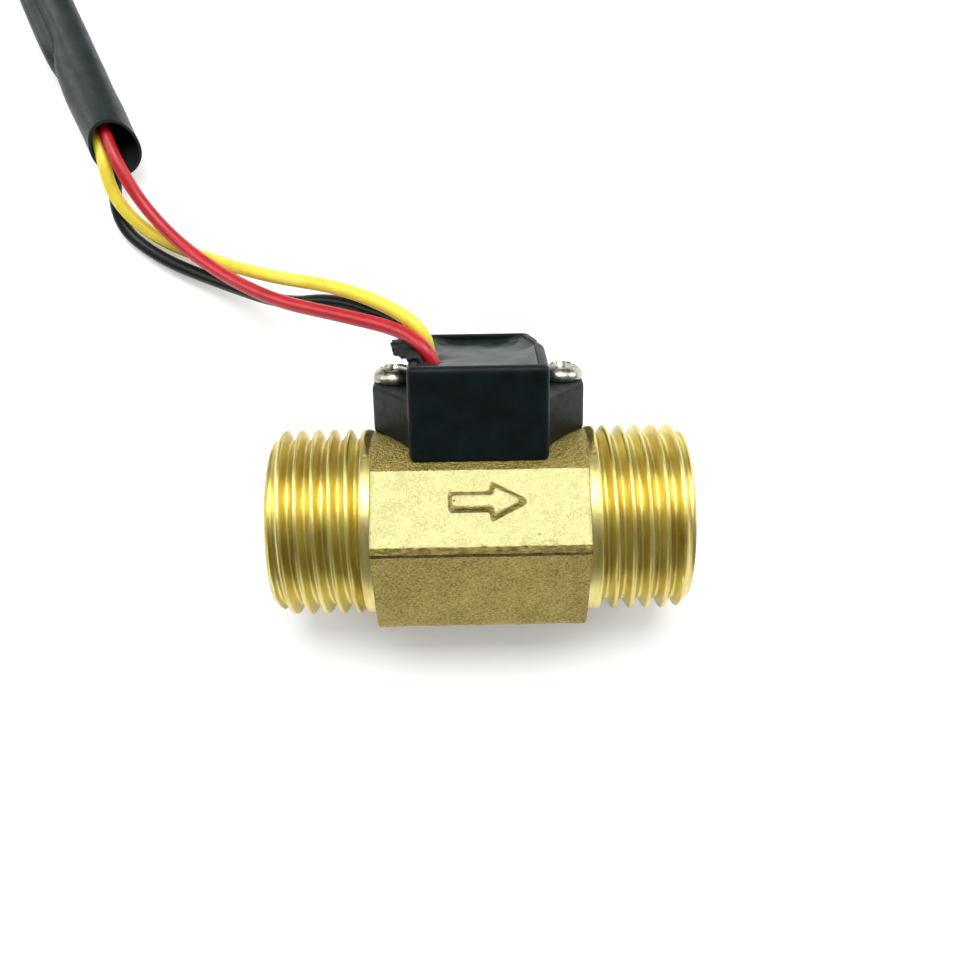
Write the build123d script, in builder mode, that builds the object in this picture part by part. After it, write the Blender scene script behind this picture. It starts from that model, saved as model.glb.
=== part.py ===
from build123d import *
from math import atan2, cos, pi, radians, sin, tan
import os

# In-line water flow sensor with a forged brass body, G1/2 at both ends, millimetres.
# It is drawn as it is installed: flow along +X, the screw face of the housing up,
# the arrow face towards -Y. Then it is laid down on its rear lower hexagon face,
# as it lies on a table, with the floor at Z = 0.

# Pipe thread G1/2
thread_major_radius = 10.4775
thread_end_chamfer = 1.2
thread_run_out = 13.2
relief_width = 0.7
relief_radius = 9.35

# Forged body
body_length = 46.0
hex_length = 23.4
neck_radius = 10.4
face_distance = 10.6
lower_face_slope = 63.6
lower_corner_radius = 2.0
land_offset = 12.35
land_height = 0.83
crown_edge_offset = 7.2
crown_edge_height = 8.6
crown_height = 9.75
crown_cut_length = 25.2

# Raised flow arrow on the front upper face
arrow_length = 7.9
arrow_head_length = 3.5
arrow_head_width = 3.7
arrow_tail_width = 1.7
arrow_height = 0.5
arrow_draft = 20.0
arrow_centre_x = 0.85
arrow_from_crown_edge = 3.6

# Bore with its shoulder, and the groove of the retaining ring
insert_bore_radius = 6.6
outlet_bore_radius = 5.5
shoulder_x = 9.0
bore_chamfer = 0.6
ring_groove_radius = 7.1
ring_thickness = 0.9
ring_groove_clearance = 0.06
ring_from_inlet = 7.5
ring_inner_radius = 5.9
ring_gap_width = 3.2
ring_gap_height = 2.4
ring_eye_offset = 2.2
ring_eye_drop = 5.5
ring_eye_radius = 0.95
ring_eye_hole_radius = 0.5

# Turbine and its supports
insert_clearance = 0.04
support_length = 3.0
support_ring_wall = 0.9
hub_radius = 2.3
vane_thickness = 0.9
vane_count = 4
guide_length = 6.0
guide_nose_length = 2.2
nose_shoulder_back = 0.75
nose_shoulder_out = 0.55
rotor_gap = 0.5
rotor_tip_clearance = 0.5
blade_count = 6
blade_thickness = 0.8
blade_twist = 32.0
blade_stations = 5
blade_overlap = 0.5
shaft_radius = 0.75
shaft_grip = 2.2
shaft_running_clearance = 0.05
magnet_radius = 1.75
magnet_length = 4.0
magnet_end_wall = 0.8

# Sensor housing
housing_half_width = 7.5
housing_front = -6.0
housing_corner_start = 4.63
housing_back_narrowing = 1.5
housing_back = 9.93
housing_top = 19.4
housing_wall = 1.2
housing_floor = 0.85
housing_edge_radius = 0.6
housing_corner_radius = 0.7
ear_reach = 4.43
ear_root_y = -3.4
ear_front_y = 3.4
ear_back_y = 8.2
ear_top = 15.0
ear_edge_radius = 0.5

# Screws through the ears
screw_from_ear_end = 2.48
screw_y = 5.6
screw_head_radius = 2.45
screw_head_height = 1.85
screw_head_rounding = 1.1
screw_shank_radius = 1.22
screw_tap_radius = 1.25
screw_hole_radius = 1.4
screw_tip_height = 6.0
head_clearance = 0.2
cutter_overrun = 1.0
recess_width = 0.7
recess_length = 2.9
recess_depth = 1.0

# Board, Hall element and the resin over them
board_side_gap = 1.0
board_front_gap = 1.5
board_back_gap = 1.43
board_thickness = 1.0
board_bottom = 13.6
board_corner_radius = 0.6
hall_width = 4.1
hall_depth = 3.0
hall_thickness = 1.55
hall_chamfer = 0.5
leg_pitch = 1.27
leg_width = 0.42
leg_reach = 1.3
chip_length = 2.0
chip_width = 1.25
chip_thickness = 0.55
chip_end = 0.4
chip_end_step = 0.05
chip_from_board_end = 2.3
capacitor_from_board_back = 2.1
resistor_from_board_front = 1.9
resin_level = 18.75
resin_dish_depth = 0.45
resin_rim = 0.15
resin_dish_taper = 60.0
flap_thickness = 0.35
flap_front = 0.9
flap_width = 3.2
flap_root_inset = 1.1
flap_root_depth = 0.4
flap_inner_inset = 0.5
flap_tip_reach = 1.9
flap_tip_rise = 0.5

# Lead: three wires, the sleeve over them, the coil and the connector
wire_diameter = 1.45
sleeve_diameter = 6.0
sleeve_wall = 0.5
mouth_depth = 6.4
arc_share = 0.45
pad_x = -2.2
pad_pitch = 3.0
pad_first_y = -2.0
solder_radius = 1.15
solder_height = 0.9
coil_centre = (-25.0, 106.0)
coil_radius = 31.0
coil_turns_side_by_side = 2
coil_section_chamfer = 1.6
tie_width = 3.0
tie_thickness = 0.7
tie_head = 4.6
plug_centre_x = -21.0
plug_back_y = 113.0
plug_width = 9.8
plug_length = 9.5
plug_height = 5.6
plug_corner_radius = 0.4
plug_notch_width = 1.6
plug_notch_height = 1.8
contact_pitch = 2.5
contact_width = 1.6
contact_length = 8.0
contact_wall = 0.3
contact_box_length = 4.8
cavity_clearance = 0.1
contact_axis_height = 2.8

# Values that follow from the sizes above
slope = radians(lower_face_slope)
housing_back_half_width = housing_half_width - housing_back_narrowing
ear_half_span = housing_half_width + ear_reach
screw_x = ear_half_span - screw_from_ear_end
land_bottom = (sin(slope) * land_offset - face_distance) / cos(slope)
land_top = land_bottom + land_height
base_half_width = face_distance * (1 - cos(slope)) / sin(slope)
support_x = shoulder_x - support_length
rotor_end_x = support_x - rotor_gap
ring_x = -body_length / 2 + ring_from_inlet
guide_x = ring_x + ring_thickness
rotor_start_x = guide_x + guide_length + rotor_gap
rotor_length = rotor_end_x - rotor_start_x
insert_radius = insert_bore_radius - insert_clearance
vane_outer = insert_radius - support_ring_wall / 2
vane_inner = hub_radius / 2
blade_root = hub_radius - blade_overlap
rotor_tip_radius = insert_bore_radius - rotor_tip_clearance
rotor_bore_radius = shaft_radius + shaft_running_clearance
shaft_start_x = guide_x + guide_length - shaft_grip
shaft_end_x = support_x + shaft_grip
magnet_start_x = rotor_end_x - magnet_end_wall - magnet_length
board_length = 2 * (housing_half_width - housing_wall - board_side_gap)
board_front = housing_front + housing_wall + board_front_gap
board_back = housing_back - housing_wall - board_back_gap
board_width = board_back - board_front
board_centre_y = (board_front + board_back) / 2
board_top = board_bottom + board_thickness
chip_x = board_length / 2 - chip_from_board_end
capacitor_y = board_back - capacitor_from_board_back
resistor_y = board_front + resistor_from_board_front
cavity_floor = crown_height + housing_floor
hall_axis_height = cavity_floor + hall_thickness / 2
leg_y = hall_depth / 2 + leg_reach
dish_rim = housing_half_width - housing_wall
wire_radius = wire_diameter / 2
sleeve_radius = sleeve_diameter / 2
cavity_width = contact_width + 2 * cavity_clearance
coil_width = coil_turns_side_by_side * sleeve_diameter
face_angle = atan2(crown_edge_height - land_top, land_offset - crown_edge_offset)

# The pose on the table: the rear lower face goes down onto Z = 0
resting = Location((0, 0, face_distance), (-lower_face_slope, 0, 0))

# Routes of the wires and the sleeve, on the table, chosen from the photograph
red_route = [
    (-2.2, 12.6, 19.1),
    (-5.0, 16.9, 20.7),
    (-8.2, 20.5, 17.3),
    (-15.3, 23.1, 14.0),
    (-24.4, 27.0, 8.8),
    (-34.0, 33.5, 4.2),
    (-40.4, 40.0, 3.9),
    (-44.0, 46.8, 6.6),
    (-45.9, 51.6, 5.0),
]
yellow_route = [
    (-2.2, 13.9, 16.4),
    (-4.8, 18.5, 18.4),
    (-8.0, 22.2, 16.8),
    (-15.3, 25.9, 14.2),
    (-24.3, 29.2, 8.9),
    (-32.7, 33.1, 1.8),
    (-39.6, 36.6, 1.4),
    (-44.3, 40.8, 3.4),
    (-45.5, 45.9, 5.9),
    (-47.4, 51.2, 4.2),
]
black_route = [
    (-2.2, 15.3, 13.7),
    (-5.3, 19.9, 15.8),
    (-9.4, 22.3, 13.7),
    (-16.7, 24.7, 10.6),
    (-22.8, 25.7, 6.6),
    (-31.5, 30.0, 2.6),
    (-39.8, 34.6, 0.9),
    (-44.4, 39.6, 1.1),
    (-43.7, 45.8, 4.7),
    (-46.3, 51.2, 2.9),
]
sleeve_route = [
    (-43.9, 46.6, 5.6),
    (-46.7, 52.2, 3.8),
    (-50.7, 60.4, 3.0),
    (-55.2, 70.4, 3.0),
    (-58.4, 81.6, 3.0),
    (-59.0, 90.6, 3.0),
]
tail_routes = {
    "tail_red": [(-18.4, 131.2, 3.8), (-15.6, 126.8, 3.4), (-18.5, 120.2, 2.7), (-18.5, 113.0, 2.7)],
    "tail_yellow": [(-20.6, 131.2, 2.3), (-19.4, 126.4, 2.3), (-21.0, 119.6, 2.7), (-21.0, 113.0, 2.7)],
    "tail_black": [(-22.6, 131.4, 3.9), (-22.0, 126.2, 3.2), (-23.5, 119.6, 2.7), (-23.5, 113.0, 2.7)],
}


def arc_radii(route):
    # The largest arc that each corner of a route allows
    points = [Vector(*point) for point in route]
    radii = []
    for before, corner, after in zip(points, points[1:], points[2:]):
        arriving = corner - before
        leaving = after - corner
        half_turn = radians(arriving.get_angle(leaving)) / 2
        radii.append(arc_share * min(arriving.length, leaving.length) / tan(half_turn))
    return radii


def tube_along(route, radius, name):
    # A round solid along straight runs joined by tangent arcs
    radii = arc_radii(route)
    with BuildPart() as tube:
        with BuildLine() as path:
            FilletPolyline(*route, radius=radii)
        with BuildSketch(Plane(origin=path.line @ 0, z_dir=path.line % 0)):
            Circle(radius)
        sweep()
    length = path.wire().length
    share = tube.part.volume / (pi * radius**2 * length)
    print(name, "length", round(length, 1), "volume over area times length", round(share, 4))
    print(name, "arc radii", [round(arc, 1) for arc in radii])
    return tube.part


# Upper part of the forging's section, shared by the body and the housing's underside
crown_points = (
    (-crown_edge_offset, crown_edge_height),
    (0, crown_height),
    (crown_edge_offset, crown_edge_height),
)

# Body: the hexagon, the two necks and the two threaded ends are one forging
with BuildPart() as brass_body:
    with BuildSketch(Plane.YZ) as hexagon:
        with BuildLine():
            ThreePointArc(*crown_points)
            Polyline(
                crown_points[2],
                (land_offset, land_top),
                (land_offset, land_bottom),
                (base_half_width, -face_distance),
                (-base_half_width, -face_distance),
                (-land_offset, land_bottom),
                (-land_offset, land_top),
                crown_points[0],
            )
        make_face()
        fillet(hexagon.vertices().group_by(Axis.Y)[0], radius=lower_corner_radius)
    extrude(amount=hex_length / 2, both=True)
    with BuildSketch(Plane.YZ):
        Circle(neck_radius)
    extrude(amount=thread_run_out, both=True)
    with BuildSketch(Plane.YZ):
        with BuildLine():
            ThreePointArc(*crown_points)
            Polyline(
                crown_points[2],
                (crown_edge_offset, 2 * neck_radius),
                (-crown_edge_offset, 2 * neck_radius),
                crown_points[0],
            )
        make_face()
    extrude(amount=crown_cut_length / 2, both=True, mode=Mode.SUBTRACT)
    with BuildSketch(Plane.XZ):
        with BuildLine():
            Polyline(
                (thread_run_out, 0),
                (thread_run_out, relief_radius),
                (thread_run_out + relief_width, relief_radius),
                (thread_run_out + relief_width, thread_major_radius),
                (body_length / 2 - thread_end_chamfer, thread_major_radius),
                (body_length / 2, thread_major_radius - thread_end_chamfer),
                (body_length / 2, 0),
                close=True,
            )
        make_face()
        mirror(about=Plane.YZ)
    revolve(axis=Axis.X)
    # Bore, stepped where the rear support seats
    with BuildSketch(Plane.XZ):
        with BuildLine():
            Polyline(
                (-body_length / 2, 0),
                (-body_length / 2, insert_bore_radius + bore_chamfer),
                (-body_length / 2 + bore_chamfer, insert_bore_radius),
                (ring_x - ring_groove_clearance, insert_bore_radius),
                (ring_x - ring_groove_clearance, ring_groove_radius),
                (ring_x + ring_thickness, ring_groove_radius),
                (ring_x + ring_thickness, insert_bore_radius),
                (shoulder_x, insert_bore_radius),
                (shoulder_x, outlet_bore_radius),
                (body_length / 2 - bore_chamfer, outlet_bore_radius),
                (body_length / 2, outlet_bore_radius + bore_chamfer),
                (body_length / 2, 0),
                close=True,
            )
        make_face()
    revolve(axis=Axis.X, mode=Mode.SUBTRACT)
    # Tapped holes for the two screws
    with BuildSketch(Plane.XY.offset(screw_tip_height)):
        with Locations((-screw_x, screw_y), (screw_x, screw_y)):
            Circle(screw_tap_radius)
    extrude(amount=crown_height - screw_tip_height + cutter_overrun, mode=Mode.SUBTRACT)
    # Raised arrow, pointing with the flow
    arrow_y = -crown_edge_offset - arrow_from_crown_edge * cos(face_angle)
    arrow_z = crown_edge_height - arrow_from_crown_edge * sin(face_angle)
    arrow_plane = Plane(
        origin=(arrow_centre_x, arrow_y, arrow_z),
        x_dir=(1, 0, 0),
        z_dir=(0, -sin(face_angle), cos(face_angle)),
    )
    with BuildSketch(arrow_plane):
        head_base = arrow_length / 2 - arrow_head_length
        with BuildLine():
            Polyline(
                (arrow_length / 2, 0),
                (head_base, arrow_head_width / 2),
                (head_base, arrow_tail_width / 2),
                (-arrow_length / 2, arrow_tail_width / 2),
                (-arrow_length / 2, -arrow_tail_width / 2),
                (head_base, -arrow_tail_width / 2),
                (head_base, -arrow_head_width / 2),
                close=True,
            )
        make_face()
    extrude(amount=arrow_height, taper=arrow_draft)
brass_body.part.label = "brass_body"

# Housing: a cup with two ears, its underside curved to the forging
housing_outline = (
    (-housing_half_width, housing_front),
    (housing_half_width, housing_front),
    (housing_half_width, housing_corner_start),
    (housing_back_half_width, housing_back),
    (-housing_back_half_width, housing_back),
    (-housing_half_width, housing_corner_start),
)
with BuildPart() as sensor_housing:
    with BuildSketch(Plane.XY.offset(crown_edge_height)) as cup_outline:
        with BuildLine():
            Polyline(*housing_outline, close=True)
        make_face()
        fillet(cup_outline.vertices(), radius=housing_corner_radius)
    extrude(amount=housing_top - crown_edge_height)
    fillet(sensor_housing.faces().sort_by(Axis.Z)[-1].edges(), radius=housing_edge_radius)
    with BuildSketch(Plane.XY.offset(crown_edge_height)) as ears:
        with BuildLine():
            Polyline(
                (0, ear_root_y),
                (housing_half_width, ear_root_y),
                (ear_half_span, ear_front_y),
                (ear_half_span, ear_back_y),
                (0, ear_back_y),
                close=True,
            )
        make_face()
        fillet(ears.vertices().group_by(Axis.X)[-1], radius=ear_edge_radius)
        mirror(about=Plane.YZ)
    extrude(amount=ear_top - crown_edge_height)
    # Room for the resin
    with BuildSketch(Plane.XY.offset(cavity_floor)) as cavity:
        with BuildLine():
            Polyline(*housing_outline, close=True)
        make_face()
        offset(amount=-housing_wall, kind=Kind.INTERSECTION)
    extrude(amount=housing_top - cavity_floor, mode=Mode.SUBTRACT)
    # The forging's crowned top, taken from the underside
    with BuildSketch(Plane.YZ):
        with BuildLine():
            ThreePointArc(*crown_points)
            Line(crown_points[2], crown_points[0])
        make_face()
    extrude(amount=ear_half_span + cutter_overrun, both=True, mode=Mode.SUBTRACT)
    # Screw holes, and the clearance of the screw heads in the cup's sides
    with BuildSketch(Plane.XY.offset(ear_top)):
        with Locations((-screw_x, screw_y), (screw_x, screw_y)):
            Circle(screw_hole_radius)
    extrude(amount=crown_edge_height - ear_top, mode=Mode.SUBTRACT)
    with BuildSketch(Plane.XY.offset(ear_top)):
        with Locations((-screw_x, screw_y), (screw_x, screw_y)):
            Circle(screw_head_radius + head_clearance)
    extrude(amount=housing_top - ear_top, mode=Mode.SUBTRACT)
sensor_housing.part.label = "sensor_housing"


def make_screw(x):
    # Pan head screw with a cross recess
    with BuildPart() as screw:
        with BuildSketch(Plane.XY.offset(screw_tip_height)):
            with Locations((x, screw_y)):
                Circle(screw_shank_radius)
        extrude(amount=ear_top - screw_tip_height)
        with BuildSketch(Plane.XY.offset(ear_top)):
            with Locations((x, screw_y)):
                Circle(screw_head_radius)
        extrude(amount=screw_head_height)
        fillet(screw.edges().group_by(Axis.Z)[-1], radius=screw_head_rounding)
        with BuildSketch(Plane.XY.offset(ear_top + screw_head_height)):
            with Locations((x, screw_y)):
                Rectangle(recess_length, recess_width)
                Rectangle(recess_width, recess_length)
        extrude(amount=-recess_depth, mode=Mode.SUBTRACT)
    return screw.part


# Turbine: a hub with twisted blades, bored for the shaft and pocketed for the magnet
with BuildPart() as turbine_rotor:
    with BuildSketch(Plane.YZ.offset(rotor_start_x)):
        Circle(hub_radius)
    extrude(amount=rotor_length)
    for blade in range(blade_count):
        for station in range(blade_stations):
            share = station / (blade_stations - 1)
            angle = radians(360 * blade / blade_count + blade_twist * (share - 0.5))
            station_plane = Plane(
                origin=(rotor_start_x + share * rotor_length, 0, 0),
                x_dir=(0, cos(angle), sin(angle)),
                z_dir=(1, 0, 0),
            )
            with BuildSketch(station_plane):
                with Locations(((blade_root + rotor_tip_radius) / 2, 0)):
                    Rectangle(rotor_tip_radius - blade_root, blade_thickness)
        loft()
    with BuildSketch(Plane.YZ.offset(rotor_start_x)):
        Circle(rotor_bore_radius)
    extrude(amount=rotor_length, mode=Mode.SUBTRACT)
    with BuildSketch(Plane.YZ.offset(magnet_start_x)):
        Circle(magnet_radius)
    extrude(amount=magnet_length, mode=Mode.SUBTRACT)
turbine_rotor.part.label = "turbine_rotor"

with BuildPart() as rotor_magnet:
    with BuildSketch(Plane.YZ.offset(magnet_start_x)):
        Circle(magnet_radius)
        Circle(rotor_bore_radius, mode=Mode.SUBTRACT)
    extrude(amount=magnet_length)
rotor_magnet.part.label = "rotor_magnet"

with BuildPart() as rotor_shaft:
    with BuildSketch(Plane.YZ.offset(shaft_start_x)):
        Circle(shaft_radius)
    extrude(amount=shaft_end_x - shaft_start_x)
rotor_shaft.part.label = "rotor_shaft"


def make_spider(start_x, length, turn):
    # Outer ring, straight vanes and a hub that grips the shaft
    with BuildPart() as spider:
        with BuildSketch(Plane.YZ.offset(start_x)):
            Circle(insert_radius)
            Circle(insert_radius - support_ring_wall, mode=Mode.SUBTRACT)
            with PolarLocations((vane_outer + vane_inner) / 2, vane_count, turn):
                Rectangle(vane_outer - vane_inner, vane_thickness)
            Circle(hub_radius)
        extrude(amount=length)
    return spider


with BuildPart() as flow_guide:
    add(make_spider(guide_x, guide_length, 0).part)
    with BuildSketch(Plane.XZ):
        with BuildLine():
            Line((guide_x, 0), (guide_x - guide_nose_length, 0))
            ThreePointArc(
                (guide_x - guide_nose_length, 0),
                (guide_x - nose_shoulder_back * guide_nose_length, nose_shoulder_out * hub_radius),
                (guide_x, hub_radius),
            )
            Line((guide_x, hub_radius), (guide_x, 0))
        make_face()
    revolve(axis=Axis.X)
    with BuildSketch(Plane.YZ.offset(shaft_start_x)):
        Circle(shaft_radius)
    extrude(amount=shaft_grip, mode=Mode.SUBTRACT)
flow_guide.part.label = "flow_guide"

with BuildPart() as rear_support:
    add(make_spider(support_x, support_length, 45).part)
    with BuildSketch(Plane.YZ.offset(support_x)):
        Circle(shaft_radius)
    extrude(amount=shaft_grip, mode=Mode.SUBTRACT)
rear_support.part.label = "rear_support"

# Internal retaining ring with its gap and the two eyes for the pliers
with BuildPart() as retaining_ring:
    with BuildSketch(Plane.YZ.offset(ring_x)):
        Circle(ring_groove_radius)
        Circle(ring_inner_radius, mode=Mode.SUBTRACT)
        with Locations((0, -insert_bore_radius)):
            Rectangle(ring_gap_width, ring_gap_height, mode=Mode.SUBTRACT)
        with Locations((-ring_eye_offset, -ring_eye_drop), (ring_eye_offset, -ring_eye_drop)):
            Circle(ring_eye_radius)
            Circle(ring_eye_hole_radius, mode=Mode.SUBTRACT)
    extrude(amount=ring_thickness)
retaining_ring.part.label = "retaining_ring"

# Electronics under the resin
leg_columns = (-leg_pitch, 0, leg_pitch)
pad_rows = [pad_first_y + row * pad_pitch for row in range(3)]
with BuildPart() as circuit_board:
    with BuildSketch(Plane.XY.offset(board_bottom)) as board_outline:
        with Locations((0, board_centre_y)):
            RectangleRounded(board_length, board_width, board_corner_radius)
        with Locations([(x, leg_y) for x in leg_columns]):
            Rectangle(leg_width, leg_width, mode=Mode.SUBTRACT)
    extrude(amount=board_thickness)
circuit_board.part.label = "circuit_board"

with BuildPart() as hall_sensor:
    with BuildSketch(Plane.YZ.offset(-hall_width / 2)) as element:
        with Locations((0, hall_axis_height)):
            Rectangle(hall_depth, hall_thickness)
    extrude(amount=hall_width)
    chamfer(hall_sensor.edges().filter_by(Axis.Y).group_by(Axis.Z)[-1], length=hall_chamfer)
    for x in leg_columns:
        with BuildSketch(Plane.YZ.offset(x - leg_width / 2)):
            with Locations(((hall_depth / 2 + leg_y) / 2, hall_axis_height)):
                Rectangle(leg_y - hall_depth / 2 + leg_width, leg_width)
            with Locations((leg_y, (hall_axis_height - leg_width / 2 + board_top) / 2)):
                Rectangle(leg_width, board_top - hall_axis_height + leg_width / 2)
        extrude(amount=leg_width)
hall_sensor.part.label = "hall_sensor"


def make_chip(y):
    # A ceramic block with its two metal ends a little proud
    with BuildPart() as chip:
        with BuildSketch(Plane.XY.offset(board_top)):
            with Locations((chip_x, y)):
                Rectangle(chip_length - 2 * chip_end, chip_width - 2 * chip_end_step)
        extrude(amount=chip_thickness)
        with BuildSketch(Plane.XY.offset(board_top)):
            with Locations(
                (chip_x - (chip_length - chip_end) / 2, y),
                (chip_x + (chip_length - chip_end) / 2, y),
            ):
                Rectangle(chip_end, chip_width)
        extrude(amount=chip_thickness + chip_end_step)
    return chip.part


wires = {
    "wire_red": tube_along(red_route, wire_radius, "wire_red"),
    "wire_yellow": tube_along(yellow_route, wire_radius, "wire_yellow"),
    "wire_black": tube_along(black_route, wire_radius, "wire_black"),
}
with BuildPart() as solder_joints:
    for y in pad_rows:
        with BuildSketch(Plane.XZ.offset(-y)):
            with BuildLine():
                Polyline(
                    (pad_x, board_top),
                    (pad_x + solder_radius, board_top),
                    (pad_x + wire_radius, board_top + solder_height),
                    (pad_x, board_top + solder_height),
                    close=True,
                )
            make_face()
        revolve(axis=Axis((pad_x, y, 0), (0, 0, 1)))
    for wire in wires.values():
        add(wire.moved(resting.inverse()), mode=Mode.SUBTRACT)
solder_joints.part.label = "solder_joints"

chips = {"chip_capacitor": make_chip(capacitor_y), "chip_resistor": make_chip(resistor_y)}
screws = {"screw_left": make_screw(-screw_x), "screw_right": make_screw(screw_x)}

# Resin: fills the cup round the board, dished on top, with a torn skin over the rim
with BuildPart() as potting_resin:
    with BuildSketch(Plane.XY.offset(cavity_floor)) as fill_outline:
        with BuildLine():
            Polyline(*housing_outline, close=True)
        make_face()
        offset(amount=-housing_wall, kind=Kind.INTERSECTION)
    extrude(amount=resin_level - cavity_floor)
    with BuildSketch(Plane.XY.offset(resin_level)):
        with BuildLine():
            Polyline(*housing_outline, close=True)
        make_face()
        offset(amount=-housing_wall - resin_rim, kind=Kind.INTERSECTION)
    extrude(amount=-resin_dish_depth, taper=resin_dish_taper, mode=Mode.SUBTRACT)
    with BuildSketch(Plane.XZ.offset(-flap_front)):
        with BuildLine():
            Polyline(
                (flap_root_inset - dish_rim, resin_level - flap_root_depth),
                (-dish_rim, resin_level - flap_root_depth),
                (-dish_rim, housing_top),
                (-housing_half_width, housing_top),
                (-housing_half_width - flap_tip_reach, housing_top + flap_tip_rise),
                (-housing_half_width - flap_tip_reach, housing_top + flap_tip_rise + flap_thickness),
                (-housing_half_width, housing_top + flap_thickness),
                (flap_inner_inset - dish_rim, housing_top + flap_thickness),
                close=True,
            )
        make_face()
    extrude(amount=-flap_width)
    for buried in (circuit_board.part, hall_sensor.part, solder_joints.part, *chips.values()):
        add(buried, mode=Mode.SUBTRACT)
    for wire in wires.values():
        add(wire.moved(resting.inverse()), mode=Mode.SUBTRACT)
potting_resin.part.label = "potting_resin"

# Sleeve over the wires, hollow at its open mouth
with BuildPart() as lead_sleeve:
    add(tube_along(sleeve_route, sleeve_radius, "lead_sleeve"))
    mouth = Vector(*sleeve_route[0])
    inward = (Vector(*sleeve_route[1]) - mouth).normalized()
    with BuildSketch(Plane(origin=mouth, z_dir=inward)):
        Circle(sleeve_radius - sleeve_wall)
    extrude(amount=mouth_depth, mode=Mode.SUBTRACT)
lead_sleeve.part.label = "lead_sleeve"

with BuildPart() as cable_tie:
    with BuildSketch(Plane.XZ.offset(-coil_centre[1] + tie_width / 2)) as loop:
        with Locations((coil_centre[0] - coil_radius, sleeve_radius)):
            Rectangle(coil_width + 2 * tie_thickness, sleeve_diameter)
            Rectangle(coil_width, sleeve_diameter - 2 * tie_thickness, mode=Mode.SUBTRACT)
    extrude(amount=-tie_width)
    with BuildSketch(Plane.XY.offset(sleeve_diameter)):
        with Locations((coil_centre[0] - coil_radius, coil_centre[1])):
            Rectangle(tie_head, tie_head)
    extrude(amount=tie_head / 2)
cable_tie.part.label = "cable_tie"

with BuildPart() as lead_coil:
    with BuildSketch(Plane.XZ.offset(-coil_centre[1])) as wound:
        with Locations((coil_centre[0] + coil_radius, sleeve_radius)):
            Rectangle(coil_width, sleeve_diameter)
        chamfer(wound.vertices(), length=coil_section_chamfer)
    revolve(axis=Axis((*coil_centre, 0), (0, 0, 1)))
    add(cable_tie.part, mode=Mode.SUBTRACT)
lead_coil.part.label = "lead_coil"

# Connector: three cavities for the crimp contacts, two side ribs
contact_columns = [plug_centre_x + (row - 1) * contact_pitch for row in (2, 1, 0)]
with BuildPart() as connector_housing:
    with BuildSketch(Plane.XZ.offset(-plug_back_y)):
        with Locations((plug_centre_x, plug_height / 2)):
            RectangleRounded(plug_width, plug_height, plug_corner_radius)
        with Locations([(plug_centre_x + side * plug_width / 2, plug_height) for side in (-1, 1)]):
            Rectangle(plug_notch_width, plug_notch_height, mode=Mode.SUBTRACT)
        with Locations([(x, contact_axis_height) for x in contact_columns]):
            Rectangle(cavity_width, cavity_width, mode=Mode.SUBTRACT)
    extrude(amount=plug_length)
connector_housing.part.label = "connector_housing"


def make_contact(x):
    # A folded box with a solid crimp where the wire ends
    with BuildPart() as contact:
        with BuildSketch(Plane.XZ.offset(-plug_back_y)):
            with Locations((x, contact_axis_height - cavity_clearance)):
                Rectangle(contact_width, contact_width)
        extrude(amount=contact_length)
        with BuildSketch(Plane.XZ.offset(-plug_back_y + contact_length)):
            with Locations((x, contact_axis_height - cavity_clearance)):
                Rectangle(contact_width - 2 * contact_wall, contact_width - 2 * contact_wall)
        extrude(amount=-contact_box_length, mode=Mode.SUBTRACT)
    return contact.part


contacts = {f"contact_{row + 1}": make_contact(x) for row, x in enumerate(contact_columns)}
tails = {name: tube_along(route, wire_radius, name) for name, route in tail_routes.items()}

os.makedirs("parts", exist_ok=True)
installed_pieces = {
    builder.part.label: builder.part
    for builder in (
        brass_body,
        sensor_housing,
        potting_resin,
        circuit_board,
        hall_sensor,
        solder_joints,
        flow_guide,
        turbine_rotor,
        rotor_magnet,
        rotor_shaft,
        rear_support,
        retaining_ring,
    )
}
for name, piece in {**installed_pieces, **chips, **screws}.items():
    placed = piece.moved(resting)
    placed.label = name
    export_step(placed, f"parts/{name}.step")

lead_pieces = {
    builder.part.label: builder.part
    for builder in (
        lead_sleeve,
        lead_coil,
        cable_tie,
        connector_housing,
    )
}
for name, piece in {**lead_pieces, **wires, **tails, **contacts}.items():
    piece.label = name
    export_step(piece, f"parts/{name}.step")
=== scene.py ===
import math

import bmesh
import bpy
from mathutils import Matrix, Vector, noise


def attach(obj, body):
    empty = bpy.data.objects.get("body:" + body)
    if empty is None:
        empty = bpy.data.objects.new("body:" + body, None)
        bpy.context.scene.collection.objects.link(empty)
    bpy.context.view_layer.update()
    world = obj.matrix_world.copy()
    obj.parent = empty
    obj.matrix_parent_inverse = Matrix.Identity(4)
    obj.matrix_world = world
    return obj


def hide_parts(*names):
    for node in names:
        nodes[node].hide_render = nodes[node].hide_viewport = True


# Water flow sensor lying on a pale table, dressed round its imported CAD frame, in metres.

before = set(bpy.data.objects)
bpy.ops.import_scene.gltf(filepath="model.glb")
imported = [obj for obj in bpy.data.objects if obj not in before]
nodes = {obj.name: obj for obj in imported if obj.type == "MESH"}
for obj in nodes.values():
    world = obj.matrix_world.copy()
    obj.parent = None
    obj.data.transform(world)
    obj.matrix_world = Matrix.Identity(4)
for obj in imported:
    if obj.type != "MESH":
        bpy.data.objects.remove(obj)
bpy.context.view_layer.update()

MM = 0.001
BODY = "body"

# The sensor as installed, in millimetres: flow along +X, screw face up, arrow face towards -Y
LEAN = math.radians(63.6)
AXIS_HEIGHT = 10.6
HALF_LENGTH = 23.0
HEX_HALF_LENGTH = 11.7
PAD_HALF_LENGTH = 12.0
NECK_RADIUS = 10.4
CROWN_HEIGHT = 9.75
CROWN_EDGE = (7.2, 8.6)
LAND_OFFSET = 12.35
LAND_TOP = 1.87
LAND_BOTTOM = 1.04
BASE_HALF_WIDTH = 6.57

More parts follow.
